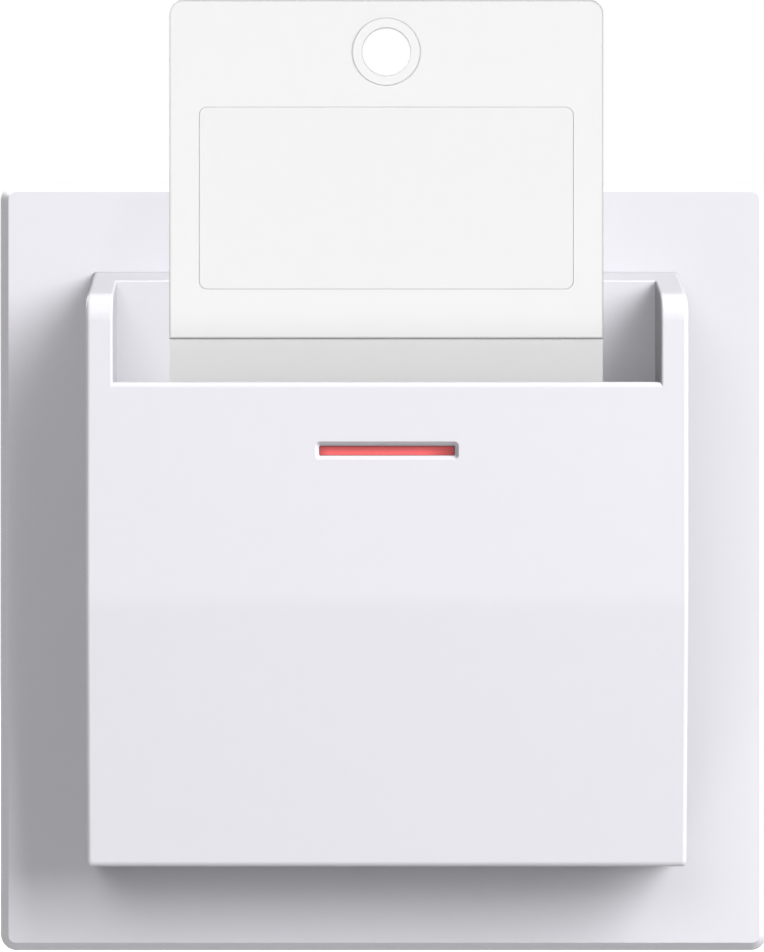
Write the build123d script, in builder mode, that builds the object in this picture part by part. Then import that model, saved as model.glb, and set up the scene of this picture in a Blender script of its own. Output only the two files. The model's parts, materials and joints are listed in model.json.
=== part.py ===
from build123d import *
import os
from math import atan, cos, radians, sin, tan

# Hotel key card switch for a flush wall box, with its key card in place.
# X runs to the right, Y runs into the wall and Z runs up. The wall's surface is the
# plane Y = 0, and an "out" value is a height above it, so Y = -out. A "rise" is a Z value.
# The origin is the middle of the box screw pattern, on the back of the support strap.
# The card is modelled pushed home, with the carriage down and the contact closed.
# The spacing of the box screws drives the frame, the strap, the cover and the housing, and
# these drive what they hold.

# Fits that several pieces share
slide_gap = 0.2
seat_gap = 0.1
pin_gap = 0.05
overrun = 1.0

# Wall frame
box_screw_spacing = 60.0
frame_past_screws = 10.5
frame_play = 0.16
frame_out = 8.0
frame_wall = 2.0
frame_corner_radius = 1.7
frame_bevel_width = 0.95
frame_bevel_depth = 1.5
window_gap = 0.02
collar_wall = 1.5
ledge_thickness = 1.2
ledge_reach = 2.5
frame_rib_thickness = 1.0
frame_rib_lift = 1.0
frame_rib_place_shares = (-0.6, 0.6)

# Support strap
strap_past_screws = 5.5
strap_thickness = 1.2
strap_corner_radius = 4.0
box_slot_width = 4.2
box_slot_length = 7.0
snap_tab_width = 8.0
snap_tab_length = 6.3
snap_tab_spacing = 28.0
snap_tab_gap = 0.45
snap_nub_width = 4.4
snap_nub_thickness = 1.9
snap_nub_reach = 1.35
snap_nub_out = 5.0
snap_nub_window_gap = 0.2
screw_head_room_width = 10.4
screw_head_room_length = 11.0
screw_head_room_depth = 3.4
screw_head_room_shift = 1.375

# Front cover
frame_border_across = 9.62
frame_border_upright = 9.55
cover_lift = 0.15
cover_out = 20.0
cover_wall = 2.0
cover_front_wall = 2.0
roof_slope = 16.4
roof_radius = 3.0
kink_rise_share = -0.0557
kink_setback = 2.2
kink_radius = 18.0
foot_radius = 0.6
side_radius = 0.5
ear_thickness = 2.8
ear_edge_radius = 0.25
lip_rise_share = 0.307
lip_radius = 0.65
pocket_back_out = 12.0
back_wall = 2.0
back_wall_edge_radius = 0.2
back_wall_lap = 3.0
card_rib_thickness = 1.2
card_rib_inset = 2.5
screw_post_radius = 2.5
screw_post_inset = 3.9

# Indicator lens and its recess
lens_rise_share = 0.193
lens_width = 13.9
lens_height = 1.0
lens_corner_radius = 0.15
recess_width = 14.7
recess_height = 1.87
recess_corner_radius = 0.45
recess_depth = 0.5
lens_fit = 0.05
lens_flange_width = 17.0
lens_flange_height = 3.6
lens_flange_thickness = 1.2

# Key card
card_side_room = 5.58
grip_height = 35.1
grip_above_lip = 4.75
card_foot_rise_share = -0.268
grip_thickness = 2.6
tongue_thickness = 1.4
card_back_gap = 0.3
card_corner_radius = 1.5
card_edge_radius = 0.3
eyelet_drop = 5.45
eyelet_bore = 5.0
eyelet_rim = 7.0
eyelet_wall = 0.7
eyelet_rim_thickness = 0.4
eyelet_edge_radius = 0.12
eyelet_land = 1.0
eyelet_flare = 0.4
label_margin = 3.1
label_height = 18.9
label_drop = 20.6
label_radius = 0.85
label_thickness = 0.2

# Card guide, carriage and return springs
guide_gap = 0.25
carriage_travel = 6.0
carriage_width = 18.0
carriage_thickness = 3.6
carriage_head_gap = 2.4
finger_width = 12.0
finger_height = 3.4
finger_reach_past_card = 1.8
finger_window_gap = 0.4
rail_wall = 1.6
rail_lip = 1.0
rail_lip_thickness = 1.2
rail_spare = 1.0
shelf_thickness = 1.6
shelf_lift = 1.9
hook_width = 12.0
hook_thickness = 2.0
hook_lap = 3.0
spring_radius = 1.48
spring_wire = 0.44
spring_turns = 6
spring_spacing = 10.0
spring_post_radius = 0.95
spring_post_height = 3.0
spring_peg_height = 1.8
screw_head_radius = 2.3
screw_head_thickness = 1.5
screw_shank_radius = 1.2
screw_hole_gap = 0.1
screw_slot_width = 0.6
screw_slot_depth = 0.7
guide_screw_length = 5.0

# Mechanism housing and its cover
housing_side_share = 0.7
housing_depth = 22.0
housing_wall = 1.8
housing_corner_radius = 5.0
flange_reach = 2.0
flange_thickness = 1.5
flange_corner_radius = 8.5
plate_out = 3.2
body_screw_inset = 4.5
body_post_radius = 2.4
body_screw_length = 9.0

# Rocker and its pin
drive_radius = 10.0
drive_pin_radius = 1.0
drive_pin_out = 3.8
fork_gap = 0.2
fork_prong = 1.6
fork_past_pin = 1.2
rocker_width = 5.2
rocker_hub_radius = 2.4
rocker_arm = 3.2
nose_reach = 8.4
nose_lift = 1.15
nose_radius = 1.4
rocker_side_gap = 0.3
cheek_thickness = 1.4
cheek_margin = 0.6
rocker_pin_radius = 1.0
lug_thickness = 2.2
lug_half_height = 3.0
opening_gap = 0.5

# Contacts and terminals
blade_half_width = 2.2
blade_thickness = 0.4
blade_root_gap = 0.2
blade_length = 11.2
tip_radius = 1.6
tip_thickness = 0.8
tip_gap = 0.05
tip_inset = 2.0
strip_thickness = 0.8
strip_side_gap = 0.3
root_plate_height = 3.4
terminal_pitch_share = 0.3125
terminal_shelf_gap = 1.42
terminal_shelf_thickness = 1.6
terminal_wall_thickness = 1.2
clamp_side_room = 1.7
clamp_head_room = 1.0
clamp_height = 7.3
clamp_length = 7.2
clamp_wall = 0.9
clamp_end_gap = 0.3
strip_leg_gap = 0.3
terminal_screw_radius = 1.5
terminal_head_radius = 2.2
terminal_head_thickness = 1.9
terminal_head_hole_gap = 0.3
terminal_screw_bite = 2.0
wire_entry_inset = 0.3
wire_entry_height = 3.0

# Lamp board
board_past_leads = 2.5
board_height = 8.6
board_below_lamp = 3.55
board_thickness = 1.2
board_stand = 2.2
board_corner_radius = 0.8
board_boss_radius = 1.6
board_boss_inset = 2.2
lamp_radius = 1.5
lamp_flange_radius = 1.9
lamp_flange_thickness = 1.0
lamp_length = 5.2
lamp_hole_gap = 0.3
lead_radius = 0.4
lead_hole_gap = 0.2
resistor_radius = 1.1
resistor_length = 6.0
resistor_offset = 8.0

# Sizes and places worked out from the sizes above
frame_side = box_screw_spacing + 2 * frame_past_screws
strap_side = box_screw_spacing + 2 * strap_past_screws
cover_width = frame_side - 2 * frame_border_across
cover_height = frame_side - 2 * frame_border_upright
strap_out = strap_thickness
cover_back_out = strap_out + ledge_thickness
cover_top = cover_lift + cover_height / 2
cover_bottom = cover_lift - cover_height / 2
kink_rise = kink_rise_share * cover_height
lip_rise = lip_rise_share * cover_height
lens_rise = lens_rise_share * cover_height
back_wall_foot_rise = lip_rise - back_wall_lap
slot_width = cover_width - 2 * ear_thickness
pocket_half_width = slot_width / 2
pocket_floor = cover_bottom + cover_wall
back_wall_out = pocket_back_out - back_wall
lower_front_slope = atan(kink_setback / (kink_rise - cover_bottom))
cover_front_inside = cover_out - cover_front_wall
window_width = cover_width + 2 * window_gap
window_height = cover_height + 2 * window_gap
card_width = slot_width - 2 * card_side_room
card_rib_spacing = card_width - 2 * card_rib_inset
card_foot_rise = card_foot_rise_share * cover_height
grip_foot_rise = lip_rise + grip_above_lip
grip_top_rise = grip_foot_rise + grip_height
card_back_out = pocket_back_out + card_back_gap
tongue_front_out = card_back_out + tongue_thickness
grip_front_out = card_back_out + grip_thickness
mount_reach = box_screw_spacing / 2


def front_at(rise):
    """How far out the front face stands at a rise on its lower, sloping part."""
    return cover_out - (kink_rise - rise) * tan(lower_front_slope)


def roof_at(out):
    """The rise of the sloping roof at a height above the wall."""
    return cover_top - (out - frame_out) * tan(radians(roof_slope))


def facing_plane(out):
    """A plane that faces out of the wall: x runs right and y runs up."""
    return Plane.XZ.offset(out)


def side_plane(across):
    """A plane seen from the right: x runs out of the wall and y runs up."""
    return Plane(origin=(across, 0, 0), x_dir=(0, -1, 0), z_dir=(-1, 0, 0))


def block(x_span, out_span, rise_span, mode=Mode.ADD):
    """Add or cut a block between two x values, two outs and two rises."""
    spans = (x_span, out_span, rise_span)
    middle = (sum(x_span) / 2, -sum(out_span) / 2, sum(rise_span) / 2)
    with Locations(middle):
        Box(*[high - low for low, high in spans], mode=mode)


def rod(radius, x, out_span, rise, mode=Mode.ADD):
    """Add or cut a round bar that stands out of the wall."""
    with Locations(Location((x, -sum(out_span) / 2, rise), (90, 0, 0))):
        Cylinder(radius, out_span[1] - out_span[0], mode=mode)


def cross_rod(radius, half_length, out, rise, mode=Mode.ADD):
    """Add or cut a round bar that lies across the object, centred on it."""
    with Locations(Location((0, -out, rise), (0, 90, 0))):
        Cylinder(radius, 2 * half_length, mode=mode)


def upright_rod(radius, x, out, rise_span, mode=Mode.ADD):
    """Add or cut a round bar that stands upright."""
    with Locations((x, -out, sum(rise_span) / 2)):
        Cylinder(radius, rise_span[1] - rise_span[0], mode=mode)


def around(middle, half):
    """The span that reaches half to each side of a middle."""
    return (middle - half, middle + half)


def screw_head_rooms(out_span, mode):
    """Cut room for the four box screw heads at the edges of the screw pattern."""
    half_width = screw_head_room_width / 2
    half_length = screw_head_room_length / 2
    for side in (-1, 1):
        middle = side * (mount_reach + screw_head_room_shift)
        block(around(middle, half_length), out_span, around(0, half_width), mode=mode)
        block(around(0, half_width), out_span, around(middle, half_length), mode=mode)


os.makedirs("parts", exist_ok=True)

# Wall frame: a shell with a collar round its window and a ledge that the cover stands on.
# It is pushed to the left by its play on the cover.
frame_middle = (-frame_play, 0)
with BuildPart() as wall_frame:
    with BuildSketch(facing_plane(0)):
        with Locations(frame_middle):
            RectangleRounded(frame_side, frame_side, frame_corner_radius)
    extrude(amount=frame_out)
    face = wall_frame.faces().sort_by(Axis.Y)[0]
    chamfer(face.edges(), frame_bevel_width, frame_bevel_depth, reference=face)
    with BuildSketch(facing_plane(0)):
        with Locations(frame_middle):
            Rectangle(frame_side - 2 * frame_wall, frame_side - 2 * frame_wall)
    extrude(amount=strap_out, mode=Mode.SUBTRACT)
    with BuildSketch(facing_plane(strap_out)):
        with Locations(frame_middle):
            Rectangle(frame_side - 2 * frame_wall, frame_side - 2 * frame_wall)
        with Locations((0, cover_lift)):
            Rectangle(window_width + 2 * collar_wall, window_height + 2 * collar_wall, mode=Mode.SUBTRACT)
    extrude(amount=frame_out - frame_wall - strap_out, mode=Mode.SUBTRACT)
    for across in (0, 90):
        for share in frame_rib_place_shares:
            rib_middle = share * frame_side / 2
            rib_reach = (frame_side - frame_wall) / 2
            with BuildSketch(facing_plane(strap_out + frame_rib_lift)):
                with Locations(Location((*frame_middle, 0), across)):
                    with Locations((rib_middle, 0)):
                        Rectangle(frame_rib_thickness, 2 * rib_reach)
            extrude(amount=frame_out - frame_wall / 2 - strap_out - frame_rib_lift)
    with BuildSketch(facing_plane(cover_back_out)):
        with Locations((0, cover_lift)):
            RectangleRounded(window_width, window_height, side_radius)
    extrude(amount=frame_out, mode=Mode.SUBTRACT)
    with BuildSketch(facing_plane(0)):
        with Locations((0, cover_lift)):
            Rectangle(window_width - 2 * ledge_reach, window_height - 2 * ledge_reach)
    extrude(amount=frame_out, mode=Mode.SUBTRACT)
    screw_head_rooms((strap_out, strap_out + screw_head_room_depth), Mode.SUBTRACT)
wall_frame.part.label = "wall_frame"
export_step(wall_frame.part, "parts/wall_frame.step")

# Support strap: a stamped plate with four screw slots and four bent snap tabs
housing_side = housing_side_share * box_screw_spacing
strap_opening = housing_side + 2 * slide_gap
snap_tab_out = strap_out + snap_tab_length
snap_tab_outer = pocket_half_width - snap_tab_gap
snap_tab_inner = snap_tab_outer - strap_thickness
with BuildPart() as support_strap:
    with BuildSketch(facing_plane(0)):
        RectangleRounded(strap_side, strap_side, strap_corner_radius)
        RectangleRounded(strap_opening, strap_opening, housing_corner_radius, mode=Mode.SUBTRACT)
        with Locations((-mount_reach, 0), (mount_reach, 0)):
            SlotOverall(box_slot_length, box_slot_width, mode=Mode.SUBTRACT)
        with Locations((0, -mount_reach), (0, mount_reach)):
            SlotOverall(box_slot_length, box_slot_width, rotation=90, mode=Mode.SUBTRACT)
    extrude(amount=strap_thickness)
    for side in (-1, 1):
        for end in (-1, 1):
            tab_rise = end * snap_tab_spacing / 2
            tab_middle = side * (snap_tab_outer + snap_tab_inner) / 2
            tab_x = around(tab_middle, strap_thickness / 2)
            block(tab_x, (0, snap_tab_out), around(tab_rise, snap_tab_width / 2))
            window_out = around(snap_nub_out, snap_nub_thickness / 2 + snap_nub_window_gap)
            window_rise = around(tab_rise, snap_nub_width / 2 + snap_nub_window_gap)
            block(around(tab_middle, strap_thickness), window_out, window_rise, mode=Mode.SUBTRACT)
support_strap.part.label = "support_strap"
export_step(support_strap.part, "parts/support_strap.step")

# Front cover: the block with its sloped roof, ears, lip, card pocket and upper back wall
post_x = pocket_half_width - screw_post_inset
post_rise = pocket_floor + screw_post_inset + screw_post_radius / 2
with BuildPart() as front_cover:
    with BuildSketch(side_plane(0)) as cover_side:
        with BuildLine():
            Polyline(
                (cover_back_out, cover_bottom),
                (front_at(cover_bottom), cover_bottom),
                (cover_out, kink_rise),
                (cover_out, roof_at(cover_out)),
                (frame_out, cover_top),
                (cover_back_out, cover_top),
                close=True,
            )
        make_face()
        kink_corner = cover_side.vertices().group_by(Axis.X)[-1].sort_by(Axis.Y)[0]
        fillet(kink_corner, radius=kink_radius)
    extrude(amount=cover_width / 2, both=True)
    roof_edge = front_cover.edges().filter_by(Axis.X).group_by(Axis.Y)[0].sort_by(Axis.Z)[-1]
    fillet(roof_edge, radius=roof_radius)
    foot_edge = front_cover.edges().filter_by(Axis.X).group_by(Axis.Z)[0].sort_by(Axis.Y)[0]
    fillet(foot_edge, radius=foot_radius)
    side_edges = front_cover.faces().filter_by(Axis.X).edges()
    fillet(side_edges - side_edges.group_by(Axis.Y)[-1], radius=side_radius)
    with BuildSketch(side_plane(0)):
        with BuildLine():
            Polyline(
                (cover_back_out - overrun, pocket_floor),
                (front_at(pocket_floor) - cover_front_wall, pocket_floor),
                (cover_front_inside, kink_rise),
                (cover_front_inside, cover_top + overrun),
                (pocket_back_out, cover_top + overrun),
                (pocket_back_out, back_wall_foot_rise),
                (back_wall_out, back_wall_foot_rise),
                (back_wall_out, roof_at(back_wall_out) - cover_wall),
                (frame_out, cover_top - cover_wall),
                (cover_back_out - overrun, cover_top - cover_wall),
                close=True,
            )
        make_face()
    extrude(amount=pocket_half_width, both=True, mode=Mode.SUBTRACT)
    with BuildSketch(facing_plane(pocket_back_out)):
        with Locations((0, (lip_rise + cover_top + overrun) / 2)):
            Rectangle(slot_width, cover_top + overrun - lip_rise)
    extrude(amount=cover_out - pocket_back_out + overrun, mode=Mode.SUBTRACT)
    lip_edges = front_cover.edges().filter_by(Axis.X).filter_by_position(
        Axis.Z, lip_rise - seat_gap, lip_rise + seat_gap
    )
    fillet(lip_edges.sort_by(Axis.Y)[0], radius=lip_radius)
    ear_edges = front_cover.edges().filter_by(
        lambda edge: abs(abs(edge.center().X) - pocket_half_width) < pin_gap
        and edge.center().Z > lip_rise + seat_gap
        and edge.center().Y < -pocket_back_out - seat_gap
    )
    fillet(ear_edges, radius=ear_edge_radius)
    slot_back_edge = front_cover.edges().filter_by(Axis.X).filter_by_position(
        Axis.Y, -pocket_back_out - pin_gap, -pocket_back_out + pin_gap
    )
    fillet(slot_back_edge.sort_by(Axis.Z)[-1], radius=back_wall_edge_radius)
    for side in (-1, 1):
        rib_x = side * card_rib_spacing / 2
        with BuildSketch(side_plane(rib_x)):
            with BuildLine():
                Polyline(
                    (tongue_front_out + card_back_gap, card_foot_rise),
                    (front_at(card_foot_rise) - cover_front_wall / 2, card_foot_rise),
                    (cover_out - cover_front_wall / 2, kink_rise),
                    (cover_out - cover_front_wall / 2, lip_rise - cover_wall),
                    (tongue_front_out + card_back_gap, lip_rise - 2 * cover_wall),
                    close=True,
                )
            make_face()
        extrude(amount=card_rib_thickness / 2, both=True)
        post_front = front_at(post_rise) - cover_front_wall / 2
        rod(screw_post_radius, side * post_x, (pocket_back_out, post_front), post_rise)
        screw_room = (pocket_back_out - overrun, back_wall_out + guide_screw_length + seat_gap)
        rod(screw_shank_radius + screw_hole_gap, side * post_x, screw_room, post_rise, mode=Mode.SUBTRACT)
        for end in (-1, 1):
            nub_rise = around(end * snap_tab_spacing / 2, snap_nub_width / 2)
            nub_middle = side * (pocket_half_width + (cover_wall - snap_nub_reach) / 2)
            nub_x = around(nub_middle, (snap_nub_reach + cover_wall) / 2)
            block(nub_x, around(snap_nub_out, snap_nub_thickness / 2), nub_rise)
    with BuildSketch(facing_plane(cover_out)):
        with Locations((0, lens_rise)):
            RectangleRounded(recess_width, recess_height, recess_corner_radius)
    with BuildSketch(facing_plane(cover_out - recess_depth)):
        with Locations((0, lens_rise)):
            RectangleRounded(lens_width, lens_height, lens_corner_radius)
    loft(mode=Mode.SUBTRACT)
    with BuildSketch(facing_plane(cover_front_inside - overrun)):
        with Locations((0, lens_rise)):
            RectangleRounded(lens_width, lens_height, lens_corner_radius)
    extrude(amount=cover_front_wall + overrun - recess_depth / 2, mode=Mode.SUBTRACT)
    screw_head_rooms((cover_back_out, strap_out + screw_head_room_depth), Mode.SUBTRACT)
front_cover.part.label = "front_cover"
export_step(front_cover.part, "parts/front_cover.step")

# Indicator lens: a red bar with a flange behind the front wall
lens_back_out = cover_front_inside - lens_flange_thickness
with BuildPart() as indicator_lens:
    with BuildSketch(facing_plane(lens_back_out)):
        with Locations((0, lens_rise)):
            RectangleRounded(lens_flange_width, lens_flange_height, lens_corner_radius)
    extrude(amount=lens_flange_thickness)
    with BuildSketch(facing_plane(cover_front_inside)):
        with Locations((0, lens_rise)):
            RectangleRounded(lens_width - 2 * lens_fit, lens_height - 2 * lens_fit, lens_corner_radius)
    extrude(amount=cover_front_wall - recess_depth)
indicator_lens.part.label = "indicator_lens"
export_step(indicator_lens.part, "parts/indicator_lens.step")

# Card guide: the plate that closes the back of the pocket, with rails behind it
guide_foot = pocket_floor + guide_gap
guide_head = back_wall_foot_rise - guide_gap
guide_half_width = pocket_half_width - guide_gap
carriage_front_out = back_wall_out - slide_gap
carriage_back_out = carriage_front_out - carriage_thickness
carriage_foot = card_foot_rise - finger_height
board_foot_rise = lens_rise - board_below_lamp
carriage_head = board_foot_rise - carriage_travel - carriage_head_gap
rail_inner = carriage_width / 2 + slide_gap
rail_outer = rail_inner + rail_wall
rail_back_out = carriage_back_out - slide_gap - rail_lip_thickness
shelf_rise = pocket_floor + shelf_lift
spring_out = (carriage_front_out + carriage_back_out) / 2
with BuildPart() as card_guide:
    block(around(0, guide_half_width), (back_wall_out, pocket_back_out), (guide_foot, guide_head))
    finger_room = finger_width / 2 + finger_window_gap
    window_rise = (carriage_foot - finger_window_gap, card_foot_rise + carriage_travel + finger_window_gap)
    wall_through = (back_wall_out - overrun, pocket_back_out + overrun)
    block(around(0, finger_room), wall_through, window_rise, Mode.SUBTRACT)
    rail_rise = (shelf_rise - shelf_thickness, carriage_head + carriage_travel + rail_spare)
    for side in (-1, 1):
        wall_x = around(side * (rail_inner + rail_outer) / 2, rail_wall / 2)
        block(wall_x, (rail_back_out, back_wall_out), rail_rise)
        lip_x = around(side * (rail_outer + rail_inner - rail_lip) / 2, (rail_wall + rail_lip) / 2)
        block(lip_x, (rail_back_out, rail_back_out + rail_lip_thickness), rail_rise)
        hook_x = around(side * (guide_half_width - hook_width / 2), hook_width / 2)
        hook_out = (back_wall_out - hook_thickness, back_wall_out)
        block(hook_x, hook_out, (guide_head - hook_lap, guide_head + hook_lap))
        rod(screw_shank_radius + screw_hole_gap, side * post_x, wall_through, post_rise, Mode.SUBTRACT)
    block(around(0, rail_outer), (rail_back_out, back_wall_out), (shelf_rise - shelf_thickness, shelf_rise))
    for side in (-1, 1):
        post_rise_span = (shelf_rise, shelf_rise + spring_post_height)
        upright_rod(spring_post_radius, side * spring_spacing / 2, spring_out, post_rise_span)
    rod(lamp_radius + lamp_hole_gap, 0, wall_through, lens_rise, Mode.SUBTRACT)
card_guide.part.label = "card_guide"
export_step(card_guide.part, "parts/card_guide.step")


def slotted_screw(x, rise, seat_out, length):
    """A screw driven in from behind or in front, head on seat_out, shank along the out axis."""
    step = 1 if length > 0 else -1
    head_end = seat_out - step * screw_head_thickness
    rod(screw_head_radius, x, tuple(sorted((head_end, seat_out))), rise)
    rod(screw_shank_radius, x, tuple(sorted((seat_out, seat_out + length))), rise)
    slot_end = head_end + step * screw_slot_depth
    slot_out = tuple(sorted((head_end - step * overrun, slot_end)))
    block(around(x, screw_slot_width / 2), slot_out, around(rise, 2 * screw_head_radius), Mode.SUBTRACT)


# Guide screws: two, driven from behind into the cover's posts
with BuildPart() as guide_screws:
    for side in (-1, 1):
        slotted_screw(side * post_x, post_rise, back_wall_out, guide_screw_length)
guide_screws.part.label = "guide_screws"
export_step(guide_screws.part, "parts/guide_screws.step")

# Heights of the mechanism, from the housing's top wall down to the rocker's pin
housing_inner = housing_side / 2 - housing_wall
clamp_head = housing_inner - clamp_head_room
clamp_foot = clamp_head - clamp_height
terminal_shelf_rise = clamp_foot - terminal_shelf_thickness
fixed_strip_rise = terminal_shelf_rise - terminal_shelf_gap - strip_thickness
fixed_tip_rise = fixed_strip_rise - tip_thickness
blade_rise = fixed_tip_rise - tip_gap - tip_thickness - blade_thickness
rest_angle = carriage_travel / 2 / drive_radius
nose_top = nose_reach * sin(rest_angle) + nose_lift * cos(rest_angle) + nose_radius
pivot_rise = blade_rise - pin_gap - nose_top
drive_pin_rise = pivot_rise - carriage_travel / 2

# Carriage: the slider behind the guide, with the finger under the card and the drive pin
cheek_inner = rocker_width / 2 + fork_gap + fork_gap
cheek_outer = cheek_inner + cheek_thickness
cheek_half_height = drive_pin_radius + cheek_margin
cheek_back_out = drive_pin_out - cheek_half_height
with BuildPart() as carriage:
    carriage_out = (carriage_back_out, carriage_front_out)
    block(around(0, carriage_width / 2), carriage_out, (carriage_foot, carriage_head))
    finger_out = (carriage_front_out, tongue_front_out + finger_reach_past_card)
    block(around(0, finger_width / 2), finger_out, (carriage_foot, card_foot_rise))
    for side in (-1, 1):
        cheek_x = around(side * (cheek_inner + cheek_outer) / 2, cheek_thickness / 2)
        block(cheek_x, (cheek_back_out, carriage_back_out), around(drive_pin_rise, cheek_half_height))
        peg_rise = (carriage_foot - spring_peg_height, carriage_foot)
        upright_rod(spring_post_radius, side * spring_spacing / 2, spring_out, peg_rise)
    cross_rod(drive_pin_radius, cheek_outer, drive_pin_out, drive_pin_rise)
carriage.part.label = "carriage"
export_step(carriage.part, "parts/carriage.step")

# Return springs: two compression coils between the guide's shelf and the carriage
spring_height = carriage_foot - shelf_rise
for side_name, side in (("left", -1), ("right", 1)):
    with BuildPart() as return_spring:
        with BuildLine():
            coil = Helix(
                (spring_height - spring_wire) / spring_turns,
                spring_height - spring_wire,
                spring_radius,
                center=(side * spring_spacing / 2, -spring_out, shelf_rise + spring_wire / 2),
            )
        with BuildSketch(Plane(origin=coil @ 0, z_dir=coil % 0)):
            Circle(spring_wire / 2)
        sweep(is_frenet=True)
        coil_x = around(side * spring_spacing / 2, 2 * spring_radius)
        coil_out = around(spring_out, 2 * spring_radius)
        block(coil_x, coil_out, (shelf_rise, carriage_foot), Mode.INTERSECT)
    return_spring.part.label = "return_spring_" + side_name
    export_step(return_spring.part, "parts/return_spring_" + side_name + ".step")

# Key card: a thick grip above a thinner tongue, in one moulding
eyelet_rise = grip_top_rise - eyelet_drop
label_rise = grip_top_rise - label_drop
label_width = card_width - 2 * label_margin
with BuildPart() as key_card:
    with BuildSketch(facing_plane(card_back_out)):
        with Locations((0, (grip_top_rise + card_foot_rise) / 2)):
            RectangleRounded(card_width, grip_top_rise - card_foot_rise, card_corner_radius)
    extrude(amount=grip_thickness)
    tongue_rise = (card_foot_rise - overrun, grip_foot_rise)
    block(around(0, card_width), (tongue_front_out, cover_out), tongue_rise, Mode.SUBTRACT)
    grip_edges = key_card.faces().sort_by(Axis.Y)[0].edges()
    fillet(grip_edges, radius=card_edge_radius)
    with BuildSketch(facing_plane(grip_front_out - label_thickness)):
        with Locations((0, label_rise)):
            RectangleRounded(label_width, label_height, label_radius)
    extrude(amount=grip_thickness, mode=Mode.SUBTRACT)
    eyelet_room = (card_back_out - overrun, grip_front_out + overrun)
    rod(eyelet_bore / 2 + eyelet_wall, 0, eyelet_room, eyelet_rise, Mode.SUBTRACT)
key_card.part.label = "key_card"
export_step(key_card.part, "parts/key_card.step")

# Card label: a thin plain plate in its recess
with BuildPart() as card_label:
    with BuildSketch(facing_plane(grip_front_out - label_thickness)):
        with Locations((0, label_rise)):
            RectangleRounded(label_width - 2 * pin_gap, label_height - 2 * pin_gap, label_radius - pin_gap)
    extrude(amount=label_thickness)
card_label.part.label = "card_label"
export_step(card_label.part, "parts/card_label.step")

# Card eyelet: a flanged ring through the card, its bore flaring towards the back
eyelet_front_out = grip_front_out + eyelet_rim_thickness
eyelet_back_out = card_back_out - eyelet_rim_thickness
flare_out = eyelet_front_out - eyelet_land
with BuildPart() as card_eyelet:
    rod(eyelet_bore / 2 + eyelet_wall, 0, (card_back_out, grip_front_out), eyelet_rise)
    rod(eyelet_rim / 2, 0, (grip_front_out, eyelet_front_out), eyelet_rise)
    rod(eyelet_rim / 2, 0, (eyelet_back_out, card_back_out), eyelet_rise)
    bore_out = (eyelet_back_out - overrun, eyelet_front_out + overrun)
    rod(eyelet_bore / 2, 0, bore_out, eyelet_rise, Mode.SUBTRACT)
    front_edges = card_eyelet.faces().sort_by(Axis.Y)[0].edges()
    fillet(front_edges, radius=eyelet_edge_radius)
    with BuildSketch(facing_plane(flare_out)):
        with Locations((0, eyelet_rise)):
            Circle(eyelet_bore / 2)
    with BuildSketch(facing_plane(eyelet_back_out)):
        with Locations((0, eyelet_rise)):
            Circle(eyelet_bore / 2 + eyelet_flare)
    loft(mode=Mode.SUBTRACT)
card_eyelet.part.label = "card_eyelet"
export_step(card_eyelet.part, "parts/card_eyelet.step")

# Places of the rocker, contacts and terminals. Behind the wall's surface an out is negative.
housing_floor_out = housing_wall - housing_depth
pivot_out = drive_pin_out - drive_radius
lug_inner = rocker_width / 2 + rocker_side_gap
lug_outer = lug_inner + lug_thickness
root_plate_out = housing_floor_out + strip_thickness
blade_root_out = root_plate_out + blade_root_gap
blade_end_out = blade_root_out + blade_length
tip_out = blade_end_out - tip_inset
clamp_back_out = housing_floor_out + clamp_end_gap
clamp_front_out = clamp_back_out + clamp_length
terminal_pitch = 2 * terminal_pitch_share * housing_inner
clamp_width = terminal_pitch - terminal_wall_thickness - 2 * clamp_side_room
strip_half_width = clamp_width / 2 - clamp_wall - strip_side_gap
wire_entry_width = 2 * (strip_half_width - wire_entry_inset)
leg_back_out = clamp_front_out + strip_leg_gap
leg_front_out = leg_back_out + strip_thickness
tang_rise = clamp_foot + clamp_wall
tang_back_out = clamp_back_out + clamp_wall
tang_head = tang_rise + strip_thickness
terminal_out = (clamp_back_out + clamp_front_out) / 2
terminal_places = (-terminal_pitch, 0, terminal_pitch)
body_screw_x = housing_side / 2 - body_screw_inset
flange_side = housing_side + 2 * flange_reach

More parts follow.
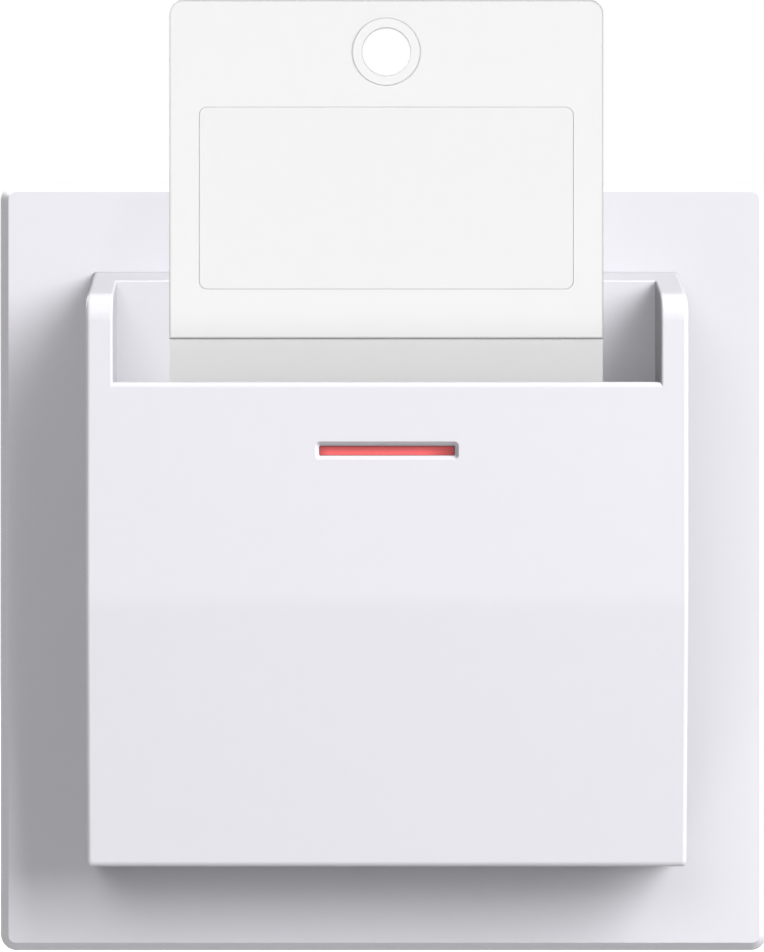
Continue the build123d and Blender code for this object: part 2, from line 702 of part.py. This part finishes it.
# Mechanism housing: the case in the wall box, with lugs, screw posts and terminal bays
shank_foot = clamp_head - clamp_wall - terminal_screw_bite
entry_rise = (tang_head + shank_foot + clamp_wall) / 2
with BuildPart() as mechanism_housing:
    with BuildSketch(facing_plane(-housing_depth)):
        RectangleRounded(housing_side, housing_side, housing_corner_radius)
    extrude(amount=housing_depth)
    with BuildSketch(facing_plane(-flange_thickness)):
        RectangleRounded(flange_side, flange_side, flange_corner_radius)
    extrude(amount=flange_thickness)
    with BuildSketch(facing_plane(housing_floor_out)):
        RectangleRounded(2 * housing_inner, 2 * housing_inner, housing_corner_radius - housing_wall)
    extrude(amount=housing_depth, mode=Mode.SUBTRACT)
    inner_span = around(0, housing_inner + housing_wall / 2)
    floor_start = housing_floor_out - housing_wall / 2
    bay_out = (floor_start, clamp_front_out)
    block(inner_span, bay_out, (terminal_shelf_rise, clamp_foot))
    for side in (-1, 1):
        lug_x = around(side * (lug_inner + lug_outer) / 2, lug_thickness / 2)
        block(lug_x, (floor_start, pivot_out + lug_half_height), around(pivot_rise, lug_half_height))
        divider_x = around(side * terminal_pitch / 2, terminal_wall_thickness / 2)
        block(divider_x, bay_out, (terminal_shelf_rise, housing_inner + housing_wall / 2))
        rod(body_post_radius, side * body_screw_x, (floor_start, 0), pivot_rise)
        screw_room = (plate_out - body_screw_length - seat_gap, overrun)
        rod(screw_shank_radius + screw_hole_gap, side * body_screw_x, screw_room, pivot_rise, Mode.SUBTRACT)
    cross_rod(rocker_pin_radius + pin_gap, lug_outer + seat_gap, pivot_out, pivot_rise, Mode.SUBTRACT)
    for place in terminal_places:
        entry_out = (-housing_depth - overrun, housing_floor_out + overrun)
        entry_x = around(place, wire_entry_width / 2)
        block(entry_x, entry_out, around(entry_rise, wire_entry_height / 2), Mode.SUBTRACT)
        head_room = (housing_inner - overrun, housing_side / 2 + overrun)
        head_hole_radius = terminal_head_radius + terminal_head_hole_gap
        upright_rod(head_hole_radius, place, terminal_out, head_room, Mode.SUBTRACT)
mechanism_housing.part.label = "mechanism_housing"
export_step(mechanism_housing.part, "parts/mechanism_housing.step")

# Mechanism cover: the plate on the strap, with the rocker's opening and the lamp's bosses
opening_half_width = cheek_outer + opening_gap
opening_reach = (plate_out - pivot_out) * tan(rest_angle)
fork_half = drive_pin_radius + fork_gap + fork_prong
opening_half_height = opening_reach + fork_half / cos(rest_angle) + opening_gap
board_back_out = plate_out + board_stand
board_front_out = board_back_out + board_thickness
board_width = 2 * (terminal_pitch + board_past_leads)
boss_x = board_width / 2 - board_boss_inset
boss_rise = board_foot_rise + board_height - board_boss_inset
lead_rise = (tang_rise + tang_head) / 2
lead_places = (-strip_half_width / 2, terminal_pitch)
with BuildPart() as mechanism_cover:
    with BuildSketch(facing_plane(0)):
        RectangleRounded(housing_side, housing_side, housing_corner_radius)
    extrude(amount=plate_out)
    with BuildSketch(facing_plane(strap_out)):
        RectangleRounded(flange_side, flange_side, housing_corner_radius)
    extrude(amount=plate_out - strap_out)
    through = (-overrun, plate_out + board_stand + overrun)
    block(around(0, opening_half_width), through, around(pivot_rise, opening_half_height), Mode.SUBTRACT)
    for side in (-1, 1):
        rod(board_boss_radius, side * boss_x, (plate_out, board_back_out), boss_rise)
        rod(screw_shank_radius + screw_hole_gap, side * body_screw_x, through, pivot_rise, Mode.SUBTRACT)
    for place in lead_places:
        rod(lead_radius + lead_hole_gap, place, through, lead_rise, Mode.SUBTRACT)
mechanism_cover.part.label = "mechanism_cover"
export_step(mechanism_cover.part, "parts/mechanism_cover.step")

# Body screws: two, from the front, that clamp the strap between cover and housing
with BuildPart() as body_screws:
    for side in (-1, 1):
        slotted_screw(side * body_screw_x, pivot_rise, plate_out, -body_screw_length)
body_screws.part.label = "body_screws"
export_step(body_screws.part, "parts/body_screws.step")

# Rocker: a lever drawn along its own rest direction, fork in front and nose behind
rest_down = (0, -cos(rest_angle), -sin(rest_angle))
rocker_plane = Plane(origin=(0, -pivot_out, pivot_rise), x_dir=rest_down, z_dir=(-1, 0, 0))
fork_end = drive_radius + fork_past_pin
fork_root = drive_radius - drive_pin_radius - fork_past_pin
with BuildPart() as rocker:
    with BuildSketch(rocker_plane):
        Circle(rocker_hub_radius)
        with Locations((fork_root / 2, 0)):
            Rectangle(fork_root, rocker_arm)
        with Locations(((fork_root + fork_end) / 2 - fork_prong / 2, 0)):
            Rectangle(fork_end - fork_root + fork_prong, 2 * fork_half)
        with Locations((fork_end, 0)):
            Rectangle(2 * (fork_end - fork_root), 2 * (drive_pin_radius + fork_gap), mode=Mode.SUBTRACT)
        with BuildLine():
            Polyline(
                (0, -rocker_arm / 2),
                (0, rocker_hub_radius),
                (-nose_reach, nose_lift + nose_radius),
                (-nose_reach, nose_lift - nose_radius),
                close=True,
            )
        make_face()
        with Locations((-nose_reach, nose_lift)):
            Circle(nose_radius)
        Circle(rocker_pin_radius + pin_gap, mode=Mode.SUBTRACT)
    extrude(amount=rocker_width / 2, both=True)
rocker.part.label = "rocker"
export_step(rocker.part, "parts/rocker.step")

# Rocker pin: the steel axle in the housing's lugs
with BuildPart() as rocker_pin:
    cross_rod(rocker_pin_radius, lug_outer, pivot_out, pivot_rise)
rocker_pin.part.label = "rocker_pin"
export_step(rocker_pin.part, "parts/rocker_pin.step")

# Contact blade and its silver tip, closed against the fixed tip
with BuildPart() as contact_blade:
    blade_span = (blade_rise, blade_rise + blade_thickness)
    block(around(0, blade_half_width), (blade_root_out, blade_end_out), blade_span)
contact_blade.part.label = "contact_blade"
export_step(contact_blade.part, "parts/contact_blade.step")

with BuildPart() as blade_tip:
    blade_tip_foot = blade_rise + blade_thickness
    upright_rod(tip_radius, 0, tip_out, (blade_tip_foot, blade_tip_foot + tip_thickness))
blade_tip.part.label = "blade_tip"
export_step(blade_tip.part, "parts/blade_tip.step")

# Fixed contact: a bent strip from above the blade into the middle clamp
with BuildPart() as fixed_contact:
    with BuildSketch(side_plane(0)):
        with BuildLine():
            Polyline(
                (blade_end_out, fixed_strip_rise),
                (leg_back_out, fixed_strip_rise),
                (leg_back_out, tang_rise),
                (tang_back_out, tang_rise),
                (tang_back_out, tang_head),
                (leg_front_out, tang_head),
                (leg_front_out, fixed_strip_rise + strip_thickness),
                (blade_end_out, fixed_strip_rise + strip_thickness),
                close=True,
            )
        make_face()
    extrude(amount=strip_half_width, both=True)
fixed_contact.part.label = "fixed_contact"
export_step(fixed_contact.part, "parts/fixed_contact.step")

with BuildPart() as fixed_tip:
    upright_rod(tip_radius, 0, tip_out, (fixed_tip_rise, fixed_strip_rise))
fixed_tip.part.label = "fixed_tip"
export_step(fixed_tip.part, "parts/fixed_tip.step")

# Common contact: the blade's root plate, bent forward and up into the left clamp
root_plate_foot = blade_rise + blade_thickness / 2 - root_plate_height / 2
root_plate_head = root_plate_foot + root_plate_height
with BuildPart() as common_contact:
    left_strip = around(-terminal_pitch, strip_half_width)
    root_plate_x = (left_strip[0], blade_half_width)
    root_plate_rise = (root_plate_foot, root_plate_head)
    block(root_plate_x, (housing_floor_out, root_plate_out), root_plate_rise)
    bend_rise = root_plate_head - strip_thickness
    block(left_strip, (housing_floor_out, leg_front_out), (bend_rise, root_plate_head))
    block(left_strip, (leg_back_out, leg_front_out), (bend_rise, tang_head))
    block(left_strip, (tang_back_out, leg_front_out), (tang_rise, tang_head))
common_contact.part.label = "common_contact"
export_step(common_contact.part, "parts/common_contact.step")

# Neutral contact: a bent strip in the right clamp, for the lamp
with BuildPart() as neutral_contact:
    right_strip = around(terminal_pitch, strip_half_width)
    block(right_strip, (leg_back_out, leg_front_out), (terminal_shelf_rise, tang_head))
    block(right_strip, (tang_back_out, leg_front_out), (tang_rise, tang_head))
neutral_contact.part.label = "neutral_contact"
export_step(neutral_contact.part, "parts/neutral_contact.step")

# Terminal clamps: three cages open towards the wire entries
with BuildPart() as terminal_clamps:
    for place in terminal_places:
        cage_out = (clamp_back_out, clamp_front_out)
        block(around(place, clamp_width / 2), cage_out, (clamp_foot, clamp_head))
        room_out = (clamp_back_out - overrun, clamp_front_out + overrun)
        room_rise = (clamp_foot + clamp_wall, clamp_head - clamp_wall)
        block(around(place, clamp_width / 2 - clamp_wall), room_out, room_rise, Mode.SUBTRACT)
        hole_rise = (clamp_head - 2 * clamp_wall, clamp_head + overrun)
        upright_rod(terminal_screw_radius + pin_gap, place, terminal_out, hole_rise, Mode.SUBTRACT)
terminal_clamps.part.label = "terminal_clamps"
export_step(terminal_clamps.part, "parts/terminal_clamps.step")

# Terminal screws: three, from above, with their heads in the housing's upper wall
head_rise = housing_side / 2 - terminal_head_thickness
with BuildPart() as terminal_screws:
    for place in terminal_places:
        upright_rod(terminal_head_radius, place, terminal_out, (head_rise, housing_side / 2))
        upright_rod(terminal_screw_radius, place, terminal_out, (shank_foot, head_rise))
        slot_rise = (housing_side / 2 - screw_slot_depth, housing_side / 2 + overrun)
        slot_out = around(terminal_out, 2 * terminal_head_radius)
        block(around(place, screw_slot_width / 2), slot_out, slot_rise, Mode.SUBTRACT)
terminal_screws.part.label = "terminal_screws"
export_step(terminal_screws.part, "parts/terminal_screws.step")

# Lamp board on the cover's bosses
with BuildPart() as lamp_board:
    with BuildSketch(facing_plane(board_back_out)):
        with Locations((0, board_foot_rise + board_height / 2)):
            RectangleRounded(board_width, board_height, board_corner_radius)
    extrude(amount=board_thickness)
    for place in lead_places:
        lead_hole = (board_back_out - overrun, board_front_out + overrun)
        rod(lead_radius + pin_gap, place, lead_hole, lead_rise, Mode.SUBTRACT)
lamp_board.part.label = "lamp_board"
export_step(lamp_board.part, "parts/lamp_board.step")

# Indicator lamp: a small diode with a flange and a domed end
with BuildPart() as indicator_lamp:
    rod(lamp_flange_radius, 0, (board_front_out, board_front_out + lamp_flange_thickness), lens_rise)
    dome_out = board_front_out + lamp_length - lamp_radius
    rod(lamp_radius, 0, (board_front_out, dome_out), lens_rise)
    with Locations((0, -dome_out, lens_rise)):
        Sphere(lamp_radius)
indicator_lamp.part.label = "indicator_lamp"
export_step(indicator_lamp.part, "parts/indicator_lamp.step")

# Lamp resistor: lies on the board beside the diode
with BuildPart() as lamp_resistor:
    resistor_at = (-resistor_offset, -board_front_out - resistor_radius, lens_rise)
    with Locations(Location(resistor_at, (0, 90, 0))):
        Cylinder(resistor_radius, resistor_length)
lamp_resistor.part.label = "lamp_resistor"
export_step(lamp_resistor.part, "parts/lamp_resistor.step")

# Lamp leads: two stiff wires from the board back to the fixed and the neutral contact
with BuildPart() as lamp_leads:
    for place in lead_places:
        rod(lead_radius, place, (leg_front_out, board_front_out), lead_rise)
lamp_leads.part.label = "lamp_leads"
export_step(lamp_leads.part, "parts/lamp_leads.step")
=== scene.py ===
import bpy
import json
import math
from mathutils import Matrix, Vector


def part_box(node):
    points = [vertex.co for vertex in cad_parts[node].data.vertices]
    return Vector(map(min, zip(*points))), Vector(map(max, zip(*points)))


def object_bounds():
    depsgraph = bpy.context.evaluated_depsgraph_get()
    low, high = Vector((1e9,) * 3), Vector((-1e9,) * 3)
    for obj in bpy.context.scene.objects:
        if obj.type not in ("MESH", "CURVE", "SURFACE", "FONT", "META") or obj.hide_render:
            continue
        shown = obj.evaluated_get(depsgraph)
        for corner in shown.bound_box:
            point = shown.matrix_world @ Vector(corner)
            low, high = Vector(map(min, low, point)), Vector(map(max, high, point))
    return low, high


# Hotel key card switch. Everything is in metres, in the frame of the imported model:
# X to the right, Y into the wall, Z up, with the wall's surface at Y = 0.
MM = 0.001

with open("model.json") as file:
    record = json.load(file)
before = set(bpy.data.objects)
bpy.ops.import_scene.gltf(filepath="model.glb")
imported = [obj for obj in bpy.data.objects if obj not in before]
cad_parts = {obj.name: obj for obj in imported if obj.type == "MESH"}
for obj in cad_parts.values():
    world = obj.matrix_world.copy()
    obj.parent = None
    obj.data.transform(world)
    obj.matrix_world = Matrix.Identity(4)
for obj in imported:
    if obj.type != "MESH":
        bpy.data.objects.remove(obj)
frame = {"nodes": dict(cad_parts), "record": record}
cad_low, cad_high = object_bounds()
nodes = frame["nodes"]
bpy.ops.object.select_all(action="DESELECT")


# Materials. The scale of a noise is in cycles per metre, and a relief is in metres.
# The gloss of each finish wanders a little. No finish lets its roughness cross 0.27, because
# reflections of the white room jump there, and a finish that crosses it shows dark specks.

tone_start = 0.2
tone_end = 0.8
mottle_scale = 700
mottle_detail = 2

plastic_spread = 0.004
plastic_relief = 0.0003 * MM
plastic_grain = 2600
plastic_grain_detail = 4
plastic_bump_strength = 0.5
plastic_gloss_swing = 0.05
plastic_ior = 1.5
rough_relief = 0.02 * MM

metal_grain = 900
metal_grain_detail = 6
metal_grain_roughness = 0.6
metal_spread = 0.14
metal_relief = 0.01 * MM
metal_bump_strength = 0.4
metal_glossy_share = 0.8
metal_dull_share = 1.25
even = (1, 1, 1)
rolled_upwards = (1, 1, 0.05)
rolled_inwards = (1, 0.05, 1)

# Where the painted shade on the lens is darkest and where the lens shows its full red, from its middle
lens_top_dark = 0.62 * MM
lens_top_lit = -0.35 * MM
lens_right_dark = 7.2 * MM
lens_right_lit = 3.5 * MM
lens_left_dark = -7.6 * MM
lens_left_lit = -5.8 * MM
lens_coat = 0.5
lens_coat_roughness = 0.1


def shader_tree(name):
    """A new material with its Principled shader, and its node tree."""
    material = bpy.data.materials.new(name)
    material.use_nodes = True
    tree = material.node_tree
    return material, tree, tree.nodes["Principled BSDF"]


def place_noise(tree, scale, detail, roughness=0.5, stretch=even):
    """Noise over the piece's own coordinates."""
    place = tree.nodes.new("ShaderNodeTexCoord")
    mapping = tree.nodes.new("ShaderNodeMapping")
    mapping.inputs["Scale"].default_value = stretch
    noise = tree.nodes.new("ShaderNodeTexNoise")
    noise.inputs["Scale"].default_value = scale
    noise.inputs["Detail"].default_value = detail
    noise.inputs["Roughness"].default_value = roughness
    tree.links.new(place.outputs["Object"], mapping.inputs["Vector"])
    tree.links.new(mapping.outputs["Vector"], noise.inputs["Vector"])
    return noise


def vary_colour(tree, shader, noise, low, high):
    """Runs the base colour between two close tones."""
    ramp = tree.nodes.new("ShaderNodeValToRGB")
    ramp.color_ramp.interpolation = "EASE"
    ramp.color_ramp.elements[0].position = tone_start
    ramp.color_ramp.elements[0].color = (*low, 1)
    ramp.color_ramp.elements[1].position = tone_end
    ramp.color_ramp.elements[1].color = (*high, 1)
    tree.links.new(noise.outputs["Fac"], ramp.inputs["Fac"])
    tree.links.new(ramp.outputs["Color"], shader.inputs["Base Color"])


def vary_roughness(tree, shader, noise, low, high):
    """Runs the roughness between two values."""
    spread = tree.nodes.new("ShaderNodeMapRange")
    spread.inputs["To Min"].default_value = low
    spread.inputs["To Max"].default_value = high
    tree.links.new(noise.outputs["Fac"], spread.inputs["Value"])
    tree.links.new(spread.outputs["Result"], shader.inputs["Roughness"])


def vary_plastic_gloss(tree, shader, roughness):
    """Gives plastic a slow change of gloss, and returns the noise that makes it."""
    slow = place_noise(tree, mottle_scale, mottle_detail)
    low = roughness * (1 - plastic_gloss_swing)
    high = roughness * (1 + plastic_gloss_swing)
    vary_roughness(tree, shader, slow, low, high)
    return slow


def bump_from(tree, shader, noise, height, strength):
    """A fine relief, its height in metres."""
    bump = tree.nodes.new("ShaderNodeBump")
    bump.inputs["Distance"].default_value = height
    bump.inputs["Strength"].default_value = strength
    tree.links.new(noise.outputs["Fac"], bump.inputs["Height"])
    tree.links.new(bump.outputs["Normal"], shader.inputs["Normal"])


def moulding(name, tone, roughness, spread=plastic_spread, relief=plastic_relief, grain=plastic_grain):
    """Moulded plastic: a close tone, a slow change of gloss and a faint fine texture."""
    material, tree, shader = shader_tree(name)
    slow = vary_plastic_gloss(tree, shader, roughness)
    low = [part * (1 - spread) for part in tone]
    vary_colour(tree, shader, slow, low, tone)
    fine = place_noise(tree, grain, plastic_grain_detail)
    bump_from(tree, shader, fine, relief, plastic_bump_strength)
    shader.inputs["IOR"].default_value = plastic_ior
    return material


def plated(name, tone, roughness, stretch=even):
    """Rolled or drawn metal with faint streaks."""
    material, tree, shader = shader_tree(name)
    streaks = place_noise(tree, metal_grain, metal_grain_detail, metal_grain_roughness, stretch)
    low = [part * (1 - metal_spread) for part in tone]
    vary_colour(tree, shader, streaks, low, tone)
    glossy = roughness * metal_glossy_share
    dull = roughness * metal_dull_share
    vary_roughness(tree, shader, streaks, glossy, dull)
    bump_from(tree, shader, streaks, metal_relief, metal_bump_strength)
    shader.inputs["Metallic"].default_value = 1.0
    return material


def combine(tree, operation, first, second):
    """Puts two values through one operation, and returns the result."""
    joined = tree.nodes.new("ShaderNodeMath")
    joined.operation = operation
    tree.links.new(first, joined.inputs[0])
    tree.links.new(second, joined.inputs[1])
    return joined.outputs[0]


def soft_step(tree, place, dark_at, lit_at):
    """A value that rises softly from 0 to 1 between two places along an axis."""
    step = tree.nodes.new("ShaderNodeMapRange")
    step.interpolation_type = "SMOOTHSTEP"
    step.inputs["From Min"].default_value = dark_at
    step.inputs["From Max"].default_value = lit_at
    tree.links.new(place, step.inputs["Value"])
    return step.outputs["Result"]


def lens_with_painted_shade(name, recess_shade_red, bright, roughness):
    """Clear red plastic with painted shade from its recess: darker at its upper edge and at both ends.
    """
    material, tree, shader = shader_tree(name)
    lens_low, lens_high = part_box("indicator_lens")
    middle = (lens_low + lens_high) / 2
    place = tree.nodes.new("ShaderNodeTexCoord")
    mapping = tree.nodes.new("ShaderNodeMapping")
    mapping.inputs["Location"].default_value = (-middle.x, 0, -middle.z)
    axes = tree.nodes.new("ShaderNodeSeparateXYZ")
    tree.links.new(place.outputs["Object"], mapping.inputs["Vector"])
    tree.links.new(mapping.outputs["Vector"], axes.inputs["Vector"])
    # The base colour darkens towards the upper edge and both ends: painted shade of the recess.
    below_top = soft_step(tree, axes.outputs["Z"], lens_top_dark, lens_top_lit)
    off_right = soft_step(tree, axes.outputs["X"], lens_right_dark, lens_right_lit)
    off_left = soft_step(tree, axes.outputs["X"], lens_left_dark, lens_left_lit)
    off_ends = combine(tree, "MULTIPLY", off_right, off_left)
    ramp = tree.nodes.new("ShaderNodeValToRGB")
    ramp.color_ramp.elements[0].color = (*recess_shade_red, 1)
    ramp.color_ramp.elements[1].color = (*bright, 1)
    tree.links.new(combine(tree, "MULTIPLY", below_top, off_ends), ramp.inputs["Fac"])
    tree.links.new(ramp.outputs["Color"], shader.inputs["Base Color"])
    vary_plastic_gloss(tree, shader, roughness)
    shader.inputs["Coat Weight"].default_value = lens_coat
    shader.inputs["Coat Roughness"].default_value = lens_coat_roughness
    return material


# Each finish has its tone, and then its roughness
finishes = {
    "white_plastic": moulding("cover_white", (0.80, 0.79, 0.84), 0.3),
    "inner_plastic": moulding("guide_white", (0.74, 0.74, 0.76), 0.42),
    "housing_plastic": moulding(
        "housing_grey", (0.60, 0.61, 0.63), 0.45, spread=0.04, relief=rough_relief, grain=1800),
    "rocker_plastic": moulding("rocker_natural", (0.80, 0.78, 0.70), 0.4),
    "card_plastic": moulding("card_white", (0.86, 0.86, 0.86), 0.38),
    "label_plastic": moulding("label_white", (0.85, 0.85, 0.85), 0.3),
    "eyelet_plastic": moulding("eyelet_white", (0.87, 0.87, 0.87), 0.25),
    # The lens's darker upper edge and ends are painted shade.
    "red_lens": lens_with_painted_shade("lens_red", (0.38, 0.03, 0.035), (0.98, 0.145, 0.155), 0.3),
    "lamp_red": moulding("lamp_red", (0.62, 0.05, 0.04), 0.12),
    "board": moulding(
        "board_green", (0.06, 0.24, 0.11), 0.35, spread=0.2, relief=rough_relief, grain=5000),
    "resistor_body": moulding("resistor_tan", (0.62, 0.52, 0.34), 0.35, spread=0.1),
    "strap_steel": plated("strap_zinc", (0.62, 0.62, 0.63), 0.36, rolled_upwards),
    "screw_steel": plated("screw_zinc", (0.66, 0.65, 0.62), 0.36),
    "clamp_steel": plated("clamp_zinc", (0.6, 0.6, 0.58), 0.36),
    "spring_steel": plated("spring_wire", (0.5, 0.5, 0.52), 0.2),
    "tinned_wire": plated("lead_tin", (0.72, 0.72, 0.73), 0.2),
    "silver": plated("contact_silver", (0.84, 0.83, 0.8), 0.2),
    "contact_brass": plated("contact_brass", (0.74, 0.55, 0.24), 0.36, rolled_inwards),
    "spring_bronze": plated("blade_bronze", (0.68, 0.44, 0.24), 0.36, rolled_inwards),
}


def dress(piece, slot_name):
    """Gives a piece the finish of one of the record's slots."""
    piece.data.materials.clear()
    piece.data.materials.append(finishes[slot_name])


for part in frame["record"]["subparts"]:
    dress(nodes[part["node"]], part["material_slot"])


# Floor and world. Both are seen as white, straight, in reflections and through clear plastic.
# The world's light is much weaker than its white, so the lamps make the shading.

pure_white = (1, 1, 1, 1)
fill_strength = 0.05
floor_size = 4.0
floor_drop = 30 * MM
floor_tone = (0.6, 0.6, 0.6)
floor_roughness = 0.95
floor_lift = 0.85


def seen_share(tree):
    """1 for what is seen straight, in a reflection or through clear plastic, and 0 for light."""
    path = tree.nodes.new("ShaderNodeLightPath")
    straight = path.outputs["Is Camera Ray"]
    mirrored = combine(tree, "MAXIMUM", straight, path.outputs["Is Glossy Ray"])
    return combine(tree, "MAXIMUM", mirrored, path.outputs["Is Transmission Ray"])


def white_world():
    """A soft even light, seen as pure white."""
    world = bpy.data.worlds.new("studio")
    bpy.context.scene.world = world
    world.use_nodes = True
    world.cycles.max_bounces = 1
    tree = world.node_tree
    light = tree.nodes["Background"]
    light.inputs["Color"].default_value = pure_white
    light.inputs["Strength"].default_value = fill_strength
    seen = tree.nodes.new("ShaderNodeBackground")
    seen.inputs["Color"].default_value = pure_white
    seen.inputs["Strength"].default_value = 1.0
    mix = tree.nodes.new("ShaderNodeMixShader")
    tree.links.new(seen_share(tree), mix.inputs["Fac"])
    tree.links.new(light.outputs[0], mix.inputs[1])
    tree.links.new(seen.outputs[0], mix.inputs[2])
    tree.links.new(mix.outputs[0], tree.nodes["World Output"].inputs["Surface"])


def pale_floor():
    """A pale floor below the switch that keeps its shadow and blends into the white around it."""
    bpy.ops.mesh.primitive_plane_add(size=floor_size, location=(0, 0, cad_low.z - floor_drop))
    floor = bpy.context.object
    floor.name = "floor"
    material, tree, shader = shader_tree("floor_pale")
    shader.inputs["Base Color"].default_value = (*floor_tone, 1)
    shader.inputs["Roughness"].default_value = floor_roughness
    amount = tree.nodes.new("ShaderNodeMath")
    amount.operation = "MULTIPLY"
    amount.inputs[1].default_value = floor_lift
    lift = tree.nodes.new("ShaderNodeEmission")
    add = tree.nodes.new("ShaderNodeAddShader")
    tree.links.new(seen_share(tree), amount.inputs[0])
    tree.links.new(amount.outputs[0], lift.inputs["Strength"])
    tree.links.new(shader.outputs[0], add.inputs[0])
    tree.links.new(lift.outputs[0], add.inputs[1])
    tree.links.new(add.outputs[0], tree.nodes["Material Output"].inputs["Surface"])
    floor.data.materials.append(material)


white_world()
pale_floor()


# Lamps. Each has a direction from the switch, a width in metres, and a level: the share of its
# own colour that a surface square to the lamp shows.

lamp_distance = 1.5
unit_power = math.pi * math.pi * lamp_distance ** 2
key_direction = (1.32, -1.0, 0.86)
key_size = 0.95
key_height_share = 1.45
key_level = 1.48
front_direction = (-0.36, -1.0, 0.6)
front_size = 0.75
front_level = 0.23
top_direction = (0.15, -0.35, 1.0)
top_size = 0.75
top_level = 0.16
back_direction = (-0.6, 1.0, 0.7)
back_size = 0.95
back_level = 0.95
low_direction = (-0.4, -0.25, -1.0)
low_size = 0.75
low_level = 0.25
card_right_direction = (0.4, -1.0, 0.05)
card_left_direction = (-0.4, -1.0, 0.05)
card_low_direction = (0.0, -1.0, -1.0)
card_lamp_size = 0.6
card_side_level = 0.4
card_low_level = 0.36


def area_lamp(name, towards, size, level, height_share=1.0):
    """A soft lamp that shines on the switch; its height is a share of its width."""
    lamp = bpy.data.lights.new(name, "AREA")
    lamp.shape = "RECTANGLE"
    lamp.size = size
    lamp.size_y = size * height_share
    lamp.energy = level * unit_power
    lamp.cycles.max_bounces = 0
    lamp_object = bpy.data.objects.new(name, lamp)
    bpy.context.scene.collection.objects.link(lamp_object)
    direction = Vector(towards).normalized()
    lamp_object.location = direction * lamp_distance
    lamp_object.rotation_euler = direction.to_track_quat("Z", "Y").to_euler()
    return lamp_object


def light_group(name, pieces, state):
    """A collection that a lamp can light or be blocked by, with these pieces in it or left out."""
    group = bpy.data.collections.new(name)
    for piece in pieces:
        group.objects.link(piece)
    for entry in group.collection_objects:
        entry.light_linking.link_state = state
    return group


def link_lamp(lamp_object, lit, casting):
    """Says which group a lamp lights, and which group casts shadows from it."""
    lamp_object.light_linking.receiver_collection = lit
    lamp_object.light_linking.blocker_collection = casting


key_lamp = area_lamp("key_lamp", key_direction, key_size, key_level, key_height_share)
front_lamp = area_lamp("front_lamp", front_direction, front_size, front_level)
top_lamp = area_lamp("top_lamp", top_direction, top_size, top_level)
area_lamp("back_lamp", back_direction, back_size, back_level)
low_lamp = area_lamp("low_lamp", low_direction, low_size, low_level)
card_right_lamp = area_lamp("card_lamp_right", card_right_direction, card_lamp_size, card_side_level)
card_left_lamp = area_lamp("card_lamp_left", card_left_direction, card_lamp_size, card_side_level)
card_low_lamp = area_lamp("card_lamp_low", card_low_direction, card_lamp_size, card_low_level)
for soft_lamp in (front_lamp, top_lamp, card_right_lamp, card_left_lamp):
    soft_lamp.visible_glossy = False

# The card is lit by lamps of its own, so it keeps its own shading but throws no shadow on
# the frame, as in the picture. The low one of them is stopped by the lip of the pocket, so it
# reaches the card's face and not its tongue. The other low lamp is stopped by every piece.
card_pieces = [nodes[name] for name in ("key_card", "card_label", "card_eyelet")]
card_and_lip_pieces = (nodes["key_card"], nodes["front_cover"])
all_but_card = light_group("all_but_card", card_pieces, "EXCLUDE")
card_alone = light_group("card_alone", card_pieces, "INCLUDE")
card_and_lip = light_group("card_and_lip", card_and_lip_pieces, "INCLUDE")
whole_switch = light_group("whole_switch", nodes.values(), "INCLUDE")
link_lamp(key_lamp, all_but_card, all_but_card)
link_lamp(front_lamp, all_but_card, all_but_card)
link_lamp(top_lamp, all_but_card, all_but_card)
link_lamp(low_lamp, all_but_card, whole_switch)
link_lamp(card_right_lamp, card_alone, card_alone)
link_lamp(card_left_lamp, card_alone, card_alone)
link_lamp(card_low_lamp, card_alone, card_and_lip)


# The camera stands 420 mm in front of the wall, a little left of the switch's middle, and looks
# straight at the wall. Its shift brings the frame to its place in the picture. The places in
# the picture and the focal length are in pixels, and the sensor's width is in millimetres.

picture_width = 764
picture_height = 952
vanishing_x = 333.0
vanishing_y = 567.3
pictured_middle_x = 383.9
focal_pixels = 3910.0
sensor_width = 36.0
camera_distance = 420 * MM
near_limit = 10 * MM

frame_low, frame_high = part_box("wall_frame")
frame_middle = (frame_low + frame_high) / 2
face_distance = camera_distance + frame_low.y
camera_left = (pictured_middle_x - vanishing_x) / focal_pixels * face_distance
camera = bpy.data.cameras.new("camera")
camera.sensor_fit = "HORIZONTAL"
camera.sensor_width = sensor_width
camera.lens = sensor_width * focal_pixels / picture_width
camera.shift_x = (picture_width / 2 - vanishing_x) / picture_width
camera.shift_y = (vanishing_y - picture_height / 2) / picture_width
camera.clip_start = near_limit
camera_object = bpy.data.objects.new("camera", camera)
bpy.context.scene.collection.objects.link(camera_object)
camera_object.location = (frame_middle.x - camera_left, -camera_distance, 0)
camera_object.rotation_euler = (math.pi / 2, 0, 0)
bpy.context.scene.camera = camera_object
bpy.context.scene.view_settings.view_transform = "Standard"
